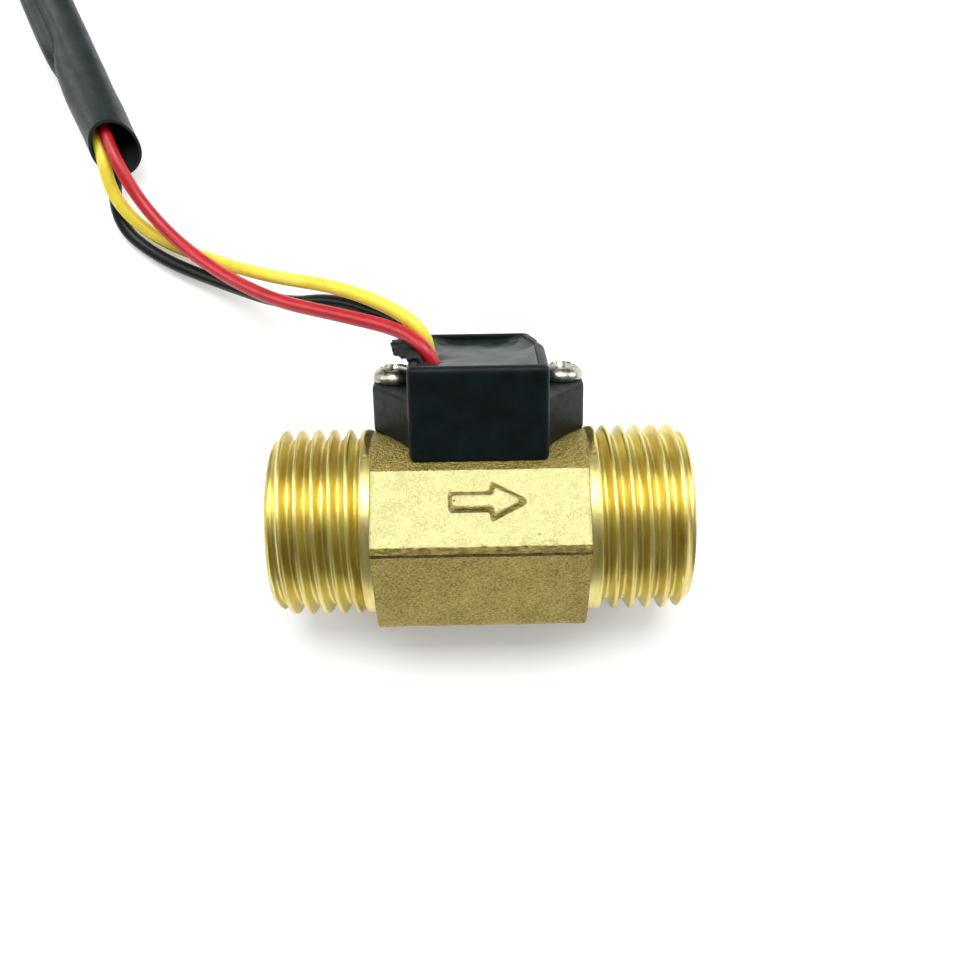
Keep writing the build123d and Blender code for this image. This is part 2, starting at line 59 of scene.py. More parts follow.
# Thread G1/2 and the bore
THREAD_RADIUS = 10.4775
THREAD_PITCH = 1.8143
THREAD_DEPTH = 1.162
THREAD_INNER_END = 13.2
THREAD_RUN_OUT = 0.45
THREAD_CREST_ANGLE = math.radians(157.6)
THREAD_CREST_LEFT = -19.62
THREAD_CREST_RIGHT = 14.46
CHAMFER_RADIUS = 9.28
INSERT_BORE = 6.6
OUTLET_BORE = 5.5
OUTLET_BORE_END = 9.0
BORE_CHAMFER = 0.6
RING_GROOVE = 7.1
RING_GROOVE_FROM = -14.6
RING_GROOVE_TO = -15.56

# Sensor housing
CUP_HALF_WIDTH = 7.5
CUP_FRONT = -6.0
CUP_TAPER_START = 4.63
CUP_BACK_HALF_WIDTH = 6.0
CUP_BACK = 9.93
CUP_TOP = 19.4
CUP_WALL = 1.2
RESIN_LEVEL = 18.75
HOUSING_VOXEL = 0.17
HOUSING_SMOOTHING = 26

# Screws through the ears
SCREW_X = 9.45
SCREW_Y = 5.6
SCREW_TIP = 6.0
SCREW_SEAT = 15.0
SCREW_SHANK = 1.22
SCREW_HEAD = 2.45
SCREW_HEAD_HEIGHT = 1.85
SCREW_RECESS = 0.8

# Lead
WIRE_RADIUS = 0.8 * MM
SLEEVE_RADIUS = 3.0 * MM
SLEEVE_WALL = 0.32 * MM
SLEEVE_REST_HEIGHT = 3.0
COIL_CENTRE = (-25.0, 106.0)
COIL_OUTER = 34.2
COIL_INNER = 28.05

# Brass finishes by their places in the body's list of materials
FORGED, FLASH_AND_SHADE, TURNED, WORN_AND_LIT, CREASE_SHADE = range(5)

# Camera as fitted to the photograph, and the lights' powers in watts
CAMERA_LENS = 41.70
CAMERA_PLACE = (-0.025, -9.133, 140.235)
CAMERA_RIGHT = (0.9998, -0.0186, 0.0073)
CAMERA_FORWARD = (0.009, 0.0952, -0.9954)
KEY_POWER = 5.0
FILL_POWER = 2.6
WORLD_STRENGTH = 0.25
TABLE_GLOW = 0.22


def lay(x, y, z):
    """A point of the installed sensor, in millimetres, where it lies on the table, in metres."""
    across = math.cos(LEAN) * y + math.sin(LEAN) * z
    up = -math.sin(LEAN) * y + math.cos(LEAN) * z + AXIS_HEIGHT
    return Vector((x, across, up)) * MM


def smooth_step(low, high, value):
    share = min(1.0, max(0.0, (value - low) / (high - low)))
    return share * share * (3 - 2 * share)


# Materials


class Finish:
    """A procedural material, built up node by node."""

    def __init__(self, name, **settings):
        self.material = bpy.data.materials.new(name)
        self.material.use_nodes = True
        self.tree = self.material.node_tree
        self.shader = self.tree.nodes["Principled BSDF"]
        for socket, value in settings.items():
            self.shader.inputs[socket.replace("_", " ")].default_value = value
        self.place = self.tree.nodes.new("ShaderNodeTexCoord").outputs["Object"]

    def noise(self, size, detail=3.0, roughness=0.55, stretch=(1, 1, 1), distortion=0.0):
        """Noise with features about size millimetres across, drawn out by stretch."""
        mapping = self.tree.nodes.new("ShaderNodeMapping")
        mapping.inputs["Scale"].default_value = [1 / (size * MM * share) for share in stretch]
        self.tree.links.new(self.place, mapping.inputs["Vector"])
        texture = self.tree.nodes.new("ShaderNodeTexNoise")
        texture.inputs["Scale"].default_value = 1.0
        texture.inputs["Detail"].default_value = detail
        texture.inputs["Roughness"].default_value = roughness
        texture.inputs["Distortion"].default_value = distortion
        self.tree.links.new(mapping.outputs["Vector"], texture.inputs["Vector"])
        return texture.outputs["Fac"]

    def mix(self, a, b, share=0.5):
        blend = self.tree.nodes.new("ShaderNodeMix")
        blend.inputs["Factor"].default_value = share
        self.tree.links.new(a, blend.inputs["A"])
        self.tree.links.new(b, blend.inputs["B"])
        return blend.outputs["Result"]

    def colour(self, factor, *stops):
        ramp = self.tree.nodes.new("ShaderNodeValToRGB")
        elements = ramp.color_ramp.elements
        while len(elements) < len(stops):
            elements.new(0.5)
        for element, (position, colour) in zip(elements, stops):
            element.position = position
            element.color = (*colour, 1)
        self.tree.links.new(factor, ramp.inputs["Fac"])
        self.tree.links.new(ramp.outputs["Color"], self.shader.inputs["Base Color"])

    def rough(self, factor, low, high):
        span = self.tree.nodes.new("ShaderNodeMapRange")
        span.inputs["From Min"].default_value = 0.3
        span.inputs["From Max"].default_value = 0.7
        span.inputs["To Min"].default_value = low
        span.inputs["To Max"].default_value = high
        self.tree.links.new(factor, span.inputs["Value"])
        self.tree.links.new(span.outputs["Result"], self.shader.inputs["Roughness"])

    def bump(self, *layers):
        """Each layer is a noise and its depth in millimetres."""
        normal = None
        for factor, depth in layers:
            bump = self.tree.nodes.new("ShaderNodeBump")
            bump.inputs["Strength"].default_value = 1.0
            bump.inputs["Distance"].default_value = depth * MM
            self.tree.links.new(factor, bump.inputs["Height"])
            if normal is not None:
                self.tree.links.new(normal, bump.inputs["Normal"])
            normal = bump.outputs["Normal"]
        self.tree.links.new(normal, self.shader.inputs["Normal"])


def forged_brass(name, dark, middle, light, grit_depth):
    """Die-forged and tumbled: fine grit with a few darker stains."""
    finish = Finish(name, Metallic=1.0)
    grit = finish.noise(0.26, detail=3, roughness=0.75)
    stain = finish.noise(4.0, detail=4, roughness=0.5)
    finish.colour(finish.mix(stain, grit, 0.82), (0.34, dark), (0.48, middle), (0.66, light))
    finish.rough(finish.noise(1.2), 0.38, 0.5)
    pits = finish.noise(0.34, detail=3, roughness=0.7)
    finish.bump((pits, grit_depth), (finish.noise(1.5, detail=2), 0.07))
    return finish.material


def flash_and_shade_brass():
    """The sheared flash line, torn and darker than the faces; also laid as painted shade on the arrow's
    sides and the pad's end ramps.
    """
    finish = Finish("flash_and_shade_brass", Metallic=1.0)
    scratch = finish.noise(0.5, detail=5, roughness=0.75, stretch=(2.2, 0.7, 0.7))
    finish.colour(
        scratch,
        (0.3, (0.12, 0.085, 0.024)),
        (0.46, (0.30, 0.235, 0.068)),
        (0.62, (0.55, 0.46, 0.15)),
    )
    finish.rough(finish.noise(0.6), 0.34, 0.58)
    finish.bump((finish.noise(0.35, detail=5, roughness=0.8, stretch=(1.6, 0.8, 0.8)), 0.16))
    return finish.material


def turned_brass():
    """Machined: fine tool marks round the bore, with a little tarnish."""
    finish = Finish("turned_brass", Metallic=1.0)
    tool_marks = finish.noise(0.14, detail=3, stretch=(1, 60, 60))
    tarnish = finish.noise(0.7, detail=5, roughness=0.6, stretch=(1, 9, 9))
    finish.colour(
        tarnish,
        (0.3, (0.50, 0.39, 0.10)),
        (0.5, (0.67, 0.565, 0.19)),
        (0.7, (0.76, 0.69, 0.28)),
    )
    finish.rough(finish.noise(0.8, stretch=(1, 5, 5)), 0.32, 0.42)
    finish.bump((tool_marks, 0.035), (finish.noise(0.5, detail=3), 0.01))
    return finish.material


def moulded_black(name, colour, rough_low, rough_high, grain=0.22):
    """Black plastic, mottled a little darker and lighter than its colour."""
    finish = Finish(name, Specular_IOR_Level=0.13)
    mottle = finish.noise(2.4, detail=4)
    darker = tuple(0.72 * share for share in colour)
    lighter = tuple(1.35 * share for share in colour)
    finish.colour(mottle, (0.32, darker), (0.68, lighter))
    finish.rough(finish.noise(1.1, detail=4, roughness=0.65), rough_low, rough_high)
    finish.bump((finish.noise(grain, detail=3), 0.012), (finish.noise(2.8, detail=2), 0.03))
    return finish.material


def glossy_resin():
    finish = Finish("glossy_resin", Specular_IOR_Level=0.06)
    cloud = finish.noise(2.8, detail=5, distortion=0.8)
    finish.colour(cloud, (0.3, (0.009, 0.013, 0.014)), (0.7, (0.016, 0.024, 0.025)))
    finish.rough(finish.noise(1.5), 0.12, 0.24)
    finish.bump((finish.noise(3.2, detail=2), 0.03), (finish.noise(0.35, detail=2), 0.004))
    return finish.material


def plated(name, light, dark, rough_low, rough_high):
    finish = Finish(name, Metallic=1.0)
    stain = finish.noise(0.9, detail=5, roughness=0.6)
    finish.colour(stain, (0.34, dark), (0.6, light))
    finish.rough(finish.noise(0.5, detail=4), rough_low, rough_high)
    finish.bump((finish.noise(0.25, detail=3), 0.012))
    return finish.material


def insulation(name, light, dark, rough_low=0.3, rough_high=0.42, depth=0.02, gloss=0.38):
    """Soft vinyl: a little uneven in colour, gloss and thickness."""
    finish = Finish(name, Specular_IOR_Level=gloss, Coat_Weight=0.3 * gloss, Coat_Roughness=0.25)
    finish.colour(finish.noise(2.0, detail=4), (0.33, dark), (0.67, light))
    finish.rough(finish.noise(0.9, detail=3), rough_low, rough_high)
    finish.bump((finish.noise(0.8, detail=3), depth), (finish.noise(0.12, detail=2), 0.004))
    return finish.material


def plain_plastic(name, light, dark, rough_low, rough_high, grain):
    finish = Finish(name)
    finish.colour(finish.noise(1.6, detail=4), (0.33, dark), (0.67, light))
    finish.rough(finish.noise(0.7), rough_low, rough_high)
    finish.bump((finish.noise(grain, detail=3), 0.01))
    return finish.material


def brushed(name, light, dark):
    finish = Finish(name, Metallic=1.0)
    lines = finish.noise(0.08, detail=2, stretch=(50, 1, 1))
    finish.colour(lines, (0.35, dark), (0.65, light))
    finish.rough(lines, 0.22, 0.36)
    finish.bump((lines, 0.006))
    return finish.material


brass_forged = forged_brass(
    "forged_brass",
    dark=(0.13, 0.09, 0.022),
    middle=(0.37, 0.29, 0.075),
    light=(0.58, 0.48, 0.16),
    grit_depth=0.42,
)
# Paler, greyer brass for the front upper face and the arrow: partly rubbed wear, partly a painted highlight.
brass_worn_and_lit = forged_brass(
    "worn_and_lit_brass",
    dark=(0.34, 0.31, 0.13),
    middle=(0.42, 0.40, 0.185),
    light=(0.46, 0.45, 0.225),
    grit_depth=0.12,
)
# Near-black brass for the crease under the flash land: painted shade.
brass_crease_shade = forged_brass(
    "crease_shade_brass",
    dark=(0.03, 0.02, 0.006),
    middle=(0.08, 0.055, 0.016),
    light=(0.16, 0.12, 0.04),
    grit_depth=0.2,
)
brass_flash_and_shade = flash_and_shade_brass()
brass_turned = turned_brass()
housing_black = moulded_black("housing_black", (0.003, 0.0066, 0.0073), 0.38, 0.54)
torn_black = moulded_black("torn_black", (0.009, 0.012, 0.012), 0.4, 0.65, 0.5)
resin = glossy_resin()
nickel = plated("nickel", (0.46, 0.46, 0.39), (0.2, 0.19, 0.145), 0.2, 0.36)
tin = plated("tin", (0.75, 0.75, 0.74), (0.5, 0.5, 0.5), 0.2, 0.34)
red_vinyl = insulation("red_vinyl", (0.47, 0.0085, 0.018), (0.36, 0.005, 0.011))
yellow_vinyl = insulation("yellow_vinyl", (0.79, 0.665, 0.055), (0.69, 0.55, 0.03))
black_vinyl = insulation("black_vinyl", (0.009, 0.013, 0.013), (0.004, 0.006, 0.006), gloss=0.2)
sleeve_vinyl = insulation(
    "sleeve_vinyl",
    (0.015, 0.024, 0.024),
    (0.008, 0.013, 0.013),
    rough_low=0.38,
    rough_high=0.52,
    depth=0.03,
    gloss=0.3,
)
sleeve_inside = insulation("sleeve_inside", (0.008, 0.009, 0.009), (0.004, 0.004, 0.004), 0.5, 0.7, 0.03)
board_green = plain_plastic("board_green", (0.02, 0.14, 0.05), (0.012, 0.09, 0.03), 0.25, 0.4, 0.3)
element_black = plain_plastic("element_black", (0.03, 0.03, 0.032), (0.015, 0.015, 0.016), 0.4, 0.6, 0.12)
ceramic = plain_plastic("ceramic", (0.46, 0.34, 0.22), (0.34, 0.24, 0.15), 0.35, 0.5, 0.1)
acetal = plain_plastic("acetal", (0.8, 0.8, 0.79), (0.7, 0.71, 0.71), 0.28, 0.42, 0.25)
nylon_black = plain_plastic("nylon_black", (0.022, 0.023, 0.024), (0.012, 0.012, 0.013), 0.35, 0.5, 0.2)
nylon_natural = plain_plastic("nylon_natural", (0.8, 0.78, 0.7), (0.7, 0.68, 0.6), 0.32, 0.45, 0.25)
magnet_grey = brushed("magnet_grey", (0.2, 0.2, 0.2), (0.1, 0.1, 0.1))
stainless = brushed("stainless", (0.66, 0.65, 0.63), (0.46, 0.45, 0.44))


# Mesh helpers


def new_piece(name, points, faces, materials, body=BODY, face_materials=None, sharp=35.0):
    """A smooth mesh with sharp edges kept, riding on a body."""
    mesh = bpy.data.meshes.new(name)
    mesh.from_pydata([tuple(point) for point in points], [], faces)
    for material in materials:
        mesh.materials.append(material)
    if face_materials:
        mesh.polygons.foreach_set("material_index", face_materials)
    cleaner = bmesh.new()
    cleaner.from_mesh(mesh)
    bmesh.ops.recalc_face_normals(cleaner, faces=cleaner.faces)
    cleaner.to_mesh(mesh)
    cleaner.free()
    mesh.shade_smooth()
    mesh.set_sharp_from_angle(angle=math.radians(sharp))
    piece = bpy.data.objects.new(name, mesh)
    bpy.context.scene.collection.objects.link(piece)
    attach(piece, body)
    return piece


def band_faces(first, second, count):
    """Quads between two rings that start at these indices."""
    return [(first + i, first + (i + 1) % count, second + (i + 1) % count, second + i) for i in range(count)]


def rounded_outline(corners, step, arc_steps=5):
    """A closed outline with its corners (y, z, radius) rounded and its sides divided."""
    outline = []
    count = len(corners)
    for i, (y, z, radius) in enumerate(corners):
        corner = Vector((y, z))
        before = Vector(corners[i - 1][:2])
        after = Vector(corners[(i + 1) % count][:2])
        arriving = (corner - before).normalized()
        leaving = (after - corner).normalized()
        turn = arriving.angle(leaving, 0.0)
        if radius and turn > 1e-3:
            reach = radius * math.tan(turn / 2)
            start = corner - arriving * reach
            end = corner + leaving * reach
            for k in range(arc_steps + 1):
                share = k / arc_steps
                bend = (1 - share) ** 2 * start + 2 * share * (1 - share) * corner + share**2 * end
                outline.append(bend)
        else:
            outline.append(corner)
    divided = []
    for a, b in zip(outline, outline[1:] + outline[:1]):
        pieces = max(1, round((b - a).length / step))
        divided.extend(a.lerp(b, k / pieces) for k in range(pieces))
    return divided


def crown(y):
    """Height of the pad under the housing."""
    return CROWN_HEIGHT - (CROWN_HEIGHT - CROWN_EDGE[1]) * (y / CROWN_EDGE[0]) ** 2


# Brass body: forged hexagon, turned necks, threads and bore


def thread_wave(turns):
    """Height of the rounded pipe thread form, from -1 at the root to 1 at the crest."""
    flank_steepness = 1.5
    straight, crest_reach = 0.78, 0.978
    triangle = 4 * abs((turns + 0.5) % 1.0 - 0.5)
    height = flank_steepness * (1 - triangle)
    if abs(height) <= straight:
        return height
    rounded = straight + (1 - straight) * (1 - math.exp(-(abs(height) - straight) / (1 - straight)))
    return math.copysign(rounded / crest_reach, height)


def outer_radius(x, angle):
    """Outside of the turned ends at a place along the bore and an angle round it."""
    along = abs(x)
    if along < THREAD_INNER_END - THREAD_RUN_OUT:
        return NECK_RADIUS
    first_crest = THREAD_CREST_LEFT if x < 0 else THREAD_CREST_RIGHT
    turns = (x - first_crest) / THREAD_PITCH - (angle - THREAD_CREST_ANGLE) / (2 * math.pi)
    radius = THREAD_RADIUS - THREAD_DEPTH / 2 + THREAD_DEPTH / 2 * thread_wave(turns)
    cut = smooth_step(THREAD_INNER_END - THREAD_RUN_OUT, THREAD_INNER_END + 0.15, along)
    radius = NECK_RADIUS + (radius - NECK_RADIUS) * cut
    return min(radius, CHAMFER_RADIUS + HALF_LENGTH - along)


def end_stations():
    """Places along the bore, close together where the thread and its run-out are."""
    thread_step, neck_step = 0.125, 0.14
    thread = [THREAD_INNER_END - 0.6 + thread_step * i for i in range(83)]
    thread = [x for x in thread if x < HALF_LENGTH - 0.02]
    neck = [HEX_HALF_LENGTH - 0.4, HEX_HALF_LENGTH - 0.05, HEX_HALF_LENGTH + 0.15]
    neck += [HEX_HALF_LENGTH + 0.3 + neck_step * i for i in range(5)]
    half = [0.0, 5.0, *neck, *thread, HALF_LENGTH]
    return [-x for x in reversed(half[1:])] + half


def end_kind(x):
    """Finish over the pad's side: forged on the pad, the darker flash finish on its ramp as painted shade,
    turned beyond.
    """
    past_pad = abs(x) - PAD_HALF_LENGTH
    if past_pad < 0.05:
        return FORGED
    return FLASH_AND_SHADE if past_pad < 0.7 else TURNED


def turned_ends():
    """The necks, threads and bore as one closed skin."""
    count = 180
    hidden_from, hidden_radius = HEX_HALF_LENGTH - 0.2, NECK_RADIUS - 0.4
    pad_reach, pad_gap = CROWN_EDGE[0] + 0.6, 0.02
    ramp_half_width = CROWN_EDGE[0] - 1.9
    rings = []
    kinds = []
    for x in end_stations():
        ring = []
        for i in range(count):
            angle = 2 * math.pi * i / count
            radius = hidden_radius if abs(x) < hidden_from else outer_radius(x, angle)
            y = radius * math.cos(angle)
            z = radius * math.sin(angle)
            if z > 0 and abs(y) < pad_reach:
                z = min(z, crown(y) - pad_gap + max(0.0, abs(x) - PAD_HALF_LENGTH))
            ring.append(lay(x, y, z))
        rings.append(ring)
        kinds.append(end_kind(x))
    bore = [
        (HALF_LENGTH, OUTLET_BORE + BORE_CHAMFER),
        (HALF_LENGTH - BORE_CHAMFER, OUTLET_BORE),
        (16.0, OUTLET_BORE),
        (OUTLET_BORE_END, OUTLET_BORE),
        (OUTLET_BORE_END, INSERT_BORE),
        (-2.0, INSERT_BORE),
        (RING_GROOVE_FROM, INSERT_BORE),
        (RING_GROOVE_FROM, RING_GROOVE),
        (RING_GROOVE_TO, RING_GROOVE),
        (RING_GROOVE_TO, INSERT_BORE),
        (BORE_CHAMFER - HALF_LENGTH, INSERT_BORE),
        (-HALF_LENGTH, INSERT_BORE + BORE_CHAMFER),
    ]
    for x, radius in bore:
        angles = [2 * math.pi * i / count for i in range(count)]
        rings.append([lay(x, radius * math.cos(angle), radius * math.sin(angle)) for angle in angles])
    points = [point for ring in rings for point in ring]
    faces = []
    face_kinds = []
    # On the pad's side the ramps get the darker flash finish from end_kind, as painted shade.
    ramp_side = []
    for i in range(count):
        middle = 2 * math.pi * (i + 0.5) / count
        ramp_side.append(math.sin(middle) > 0.0 and abs(NECK_RADIUS * math.cos(middle)) < ramp_half_width)
    for k in range(len(rings)):
        faces += band_faces(k * count, (k + 1) % len(rings) * count, count)
        kind = max(kinds[k : k + 2]) if k < len(kinds) - 1 else TURNED
        face_kinds += [kind if side else TURNED for side in ramp_side]
    return points, faces, face_kinds


def forged_dent(x, y, z):
    """How far the forging swells or sinks at a place, in millimetres."""
    dent = 0.05 * noise.noise((x * 0.45, y * 0.45, z * 0.45))
    dent += 0.022 * noise.noise((x * 1.7, y * 1.7, z * 1.7))
    if abs(y) > LAND_OFFSET - 0.35:
        dent += 0.13 * noise.noise((x * 1.1, y, z * 2.4)) + 0.05 * noise.noise((x * 4.0, y, z * 5.0))
    return dent


def forged_hexagon():
    """The hexagon with its crowned pad, its flash land and softly rounded edges."""
    corner_radius, land_radius, foot_radius = 0.5, 0.22, 2.0
    mean_radius = 11.0
    crown_steps = [(y, crown(y), 0.0) for y in (5.4, 3.6, 1.8, 0.0, -1.8, -3.6, -5.4)]
    corners = [
        (CROWN_EDGE[0], CROWN_EDGE[1], corner_radius),
        *crown_steps,
        (-CROWN_EDGE[0], CROWN_EDGE[1], corner_radius),
        (-LAND_OFFSET, LAND_TOP, land_radius),
        (-LAND_OFFSET, LAND_BOTTOM, land_radius),
        (-BASE_HALF_WIDTH, -AXIS_HEIGHT, foot_radius),
        (BASE_HALF_WIDTH, -AXIS_HEIGHT, foot_radius),
        (LAND_OFFSET, LAND_BOTTOM, land_radius),
        (LAND_OFFSET, LAND_TOP, land_radius),
    ]
    outline = rounded_outline(corners, 0.34)
    count = len(outline)
    # Each end's soft edge, as insets from the end and the section's scale there
    edge = [(0.0, 0.978), (0.06, 0.990), (0.16, 0.997), (0.3, 1.0)]
    edge_length = edge[-1][0]
    stations = [(-HEX_HALF_LENGTH + inset, scale) for inset, scale in edge]
    inner_length = 2 * (HEX_HALF_LENGTH - edge_length)
    steps = 64
    stations += [(-HEX_HALF_LENGTH + edge_length + inner_length * k / steps, 1.0) for k in range(1, steps)]
    stations += [(HEX_HALF_LENGTH - inset, scale) for inset, scale in reversed(edge)]
    hidden = [(point.normalized() * (NECK_RADIUS - 0.9)) for point in outline]
    points = [lay(-HEX_HALF_LENGTH, y, z) for y, z in hidden]
    for x, scale in stations:
        for y, z in outline:
            clear_of_table = smooth_step(-10.45, -9.6, z * math.cos(LEAN) - y * math.sin(LEAN))
            swell = scale * (1 + forged_dent(x, y, z) * clear_of_table / mean_radius)
            points.append(lay(x, y * swell, z * swell))
    points += [lay(HEX_HALF_LENGTH, y, z) for y, z in hidden]
    faces = []
    face_kinds = []
    row_kinds = []
    for i, (y, z) in enumerate(outline):
        middle = (Vector((y, z)) + outline[(i + 1) % count]) / 2
        if abs(middle.x) > LAND_OFFSET - 0.12:
            # The land's lower edge takes the near-black brass as painted shade.
            row_kinds.append(CREASE_SHADE if middle.y < LAND_BOTTOM + 0.1 else FLASH_AND_SHADE)
        else:
            # The front upper face takes the pale brass: wear with a painted highlight.
            row_kinds.append(WORN_AND_LIT if middle.x < -CROWN_EDGE[0] and middle.y > LAND_TOP else FORGED)
    for k in range(len(stations) + 1):
        faces += band_faces(k * count, (k + 1) * count, count)
        face_kinds += row_kinds if 0 < k < len(stations) else [FORGED] * count
    return points, faces, face_kinds


def offset_outline(outline, distance):
    """An outline moved outwards by a distance, with mitred corners."""
    moved = []
    count = len(outline)
    for i in range(count):
        before, here, after = outline[i - 1], outline[i], outline[(i + 1) % count]
        first = (here - before).normalized()
        second = (after - here).normalized()
        out_first = Vector((first.y, -first.x))
        out_second = Vector((second.y, -second.x))
        bisector = (out_first + out_second).normalized()
        moved.append(here + bisector * distance / max(0.3, bisector.dot(out_first)))
    return moved


def flow_arrow():
    """The raised arrow on the front upper face, with drafted sides and soft edges; its sides carry painted
    shade.
    """
    half_length, head_length, head_half, tail_half = 3.95, 3.5, 1.85, 0.85
    centre_x, from_edge = 0.85, 3.6
    face_angle = math.atan2(CROWN_EDGE[1] - LAND_TOP, LAND_OFFSET - CROWN_EDGE[0])
    head_base = half_length - head_length
    outline = [
        Vector(corner)
        for corner in (
            (-half_length, -tail_half),
            (head_base, -tail_half),
            (head_base, -head_half),
            (half_length, 0.0),
            (head_base, head_half),
            (head_base, tail_half),
            (-half_length, tail_half),
        )
    ]
    # From the foot up: how far the outline is moved outwards, and its height over the face
    levels = [
        (0.5, -0.12),
        (0.34, -0.02),
        (0.27, 0.03),
        (0.06, 0.24),
        (-0.14, 0.44),
        (-0.22, 0.49),
        (-0.42, 0.51),
    ]
    # The drafted sides take the darker flash finish as painted shade.
    painted_shade_bands = (2, 3)
    rounder_corners = (0, 3)
    points = []
    count = 0
    for distance, height in levels:
        moved = offset_outline(outline, distance)
        corners = [(x, y, 0.6 if k in rounder_corners else 0.42) for k, (x, y) in enumerate(moved)]
        ring = rounded_outline(corners, 9.0, arc_steps=5)
        count = len(ring)
        for along, up_face in ring:
            ripple = 0.02 * noise.noise((along * 2.0, up_face * 2.0, height * 3.0))
            down_face = from_edge - up_face
            y = -CROWN_EDGE[0] - down_face * math.cos(face_angle) - math.sin(face_angle) * (height + ripple)
            z = CROWN_EDGE[1] - down_face * math.sin(face_angle) + math.cos(face_angle) * (height + ripple)
            points.append(lay(centre_x + along, y, z))
    faces = []
    face_kinds = []
    for k in range(len(levels) - 1):
        faces += band_faces(k * count, (k + 1) * count, count)
        face_kinds += [FLASH_AND_SHADE if k in painted_shade_bands else WORN_AND_LIT] * count
    faces.append(tuple(range(count)))
    faces.append(tuple((len(levels) - 1) * count + i for i in range(count)))
    return points, faces, face_kinds + [WORN_AND_LIT, WORN_AND_LIT]


def brass_body():
    points, faces, kinds = [], [], []
    for part_points, part_faces, part_kinds in (turned_ends(), forged_hexagon(), flow_arrow()):
        shift = len(points)
        points += part_points
        faces += [tuple(index + shift for index in face) for face in part_faces]
        kinds += part_kinds
    materials = [brass_forged, brass_flash_and_shade, brass_turned, brass_worn_and_lit, brass_crease_shade]
    piece = new_piece("brass_body_detail", points, faces, materials, face_materials=kinds, sharp=50.0)
    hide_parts("brass_body")


brass_body()


# Resin in the cup, with the torn skin over its rim


def cup_inside():
    """The inner outline of the cup, as corners with radii."""
    half = CUP_HALF_WIDTH - CUP_WALL
    back_half = CUP_BACK_HALF_WIDTH - CUP_WALL + 0.15
    return [
        (half, CUP_FRONT + CUP_WALL, 0.5),
        (half, CUP_TAPER_START - 0.3, 0.6),
        (back_half, CUP_BACK - CUP_WALL, 0.8),
        (-back_half, CUP_BACK - CUP_WALL, 0.8),
        (-half, CUP_TAPER_START - 0.3, 0.6),
        (-half, CUP_FRONT + CUP_WALL, 0.5),
    ]


def potting():
    """A smooth concave fill that climbs the walls, least in the middle of the back."""
    climb_most, climb_loss, climb_reach = 0.55, 0.4, 0.8
    pool_depth, pool_reach = 0.3, 1.3
    hidden_depth = 3.0
    outline = rounded_outline(cup_inside(), 0.4)
    centre = Vector((0.0, (CUP_FRONT + CUP_BACK) / 2))
    red_entry = Vector((-4.8, 0.4))
    count = len(outline)
    # Rings from the middle to just past the wall, closer together near it
    shares = [0.12, 0.25, 0.38, 0.5, 0.6, 0.69, 0.77, 0.83, 0.88, 0.92, 0.955, 0.98, 0.995, 1.004]
    middle = RESIN_LEVEL - 0.15
    points = [lay(centre.x, centre.y, middle)]
    for share in shares:
        for corner in outline:
            place = centre.lerp(corner, share)
            from_wall = (1 - share) * (corner - centre).length
            back_middle = smooth_step(6.0, 8.4, corner.y) * (1 - smooth_step(2.4, 4.8, abs(corner.x)))
            climb = (climb_most - climb_loss * back_middle) * math.exp(-from_wall / climb_reach)
            sway = 0.05 * min(1, from_wall) * noise.noise((place.x * 0.3, place.y * 0.3, 4.0))
            pool = pool_depth * math.exp(-(((place - red_entry).length / pool_reach) ** 2))
            points.append(lay(place.x, place.y, middle + climb + sway - pool))
    for corner in outline:
        points.append(lay(corner.x, corner.y, RESIN_LEVEL - hidden_depth))
    last = len(points) - count
    faces = [(0, 1 + i, 1 + (i + 1) % count) for i in range(count)]
    for k in range(len(shares)):
        faces += band_faces(1 + k * count, 1 + (k + 1) * count, count)
    faces.append(tuple(last + i for i in range(count)))
    piece = new_piece("potting_surface", points, faces, [resin], sharp=60.0)
    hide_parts("potting_resin")


def torn_flap():
    """A ragged skin of resin that was pulled over the left rim, widest at the back."""
    front, back = -2.6, 6.9
    rows, columns = 40, 14
    climbing = 0.25
    rise_width, rise_height = 0.55, 0.8
    sunk, over_rim = 0.2, 0.02
    arch, droop = 0.14, 0.1
    thickness = 0.34
    points = []
    for row in range(rows):
        y = front + (back - front) * row / (rows - 1)
        taper = max(0.0, y - CUP_TAPER_START) / (CUP_BACK - CUP_TAPER_START)
        rim = CUP_HALF_WIDTH - (CUP_HALF_WIDTH - CUP_BACK_HALF_WIDTH) * taper
        widest = 1.7 * smooth_step(-2.4, 1.3, y)
        widest += 0.4 * smooth_step(1.3, 5.5, y)
        widest -= 0.8 * smooth_step(6.0, 7.0, y)
        tear = 0.5 * noise.noise((y * 1.6, 3.1, 0.0)) + 0.3 * noise.noise((y * 4.1, 8.7, 0.0))
        tip = CUP_HALF_WIDTH + max(0.0, widest + tear * smooth_step(front, 0.5, y))
        for k in range(columns):
            share = k / (columns - 1)
            if share < climbing:
                part = share / climbing
                x = -(rim - CUP_WALL - rise_width + rise_width * part)
                z = RESIN_LEVEL - sunk + rise_height * part**1.4
            else:
                part = (share - climbing) / (1 - climbing)
                x = -(rim - CUP_WALL + (tip - rim + CUP_WALL) * part)
                z = CUP_TOP + over_rim + arch * math.sin(math.pi * part) - droop * part**2
            lump = 0.13 * noise.noise((x * 1.1, y * 1.5, 2.0)) + 0.09 * noise.noise((x * 3.4, y * 3.9, 6.0))
            points.append(lay(x, y + 0.6 * lump, z + lump))
    faces = [
        (row * columns + k, row * columns + k + 1, (row + 1) * columns + k + 1, (row + 1) * columns + k)
        for row in range(rows - 1)
        for k in range(columns - 1)
    ]
    piece = new_piece("torn_resin_skin", points, faces, [torn_black], sharp=180.0)
    solid = piece.modifiers.new("thickness", "SOLIDIFY")
    solid.thickness = thickness * MM
    solid.offset = 0.0


potting()
torn_flap()


# Housing and screws


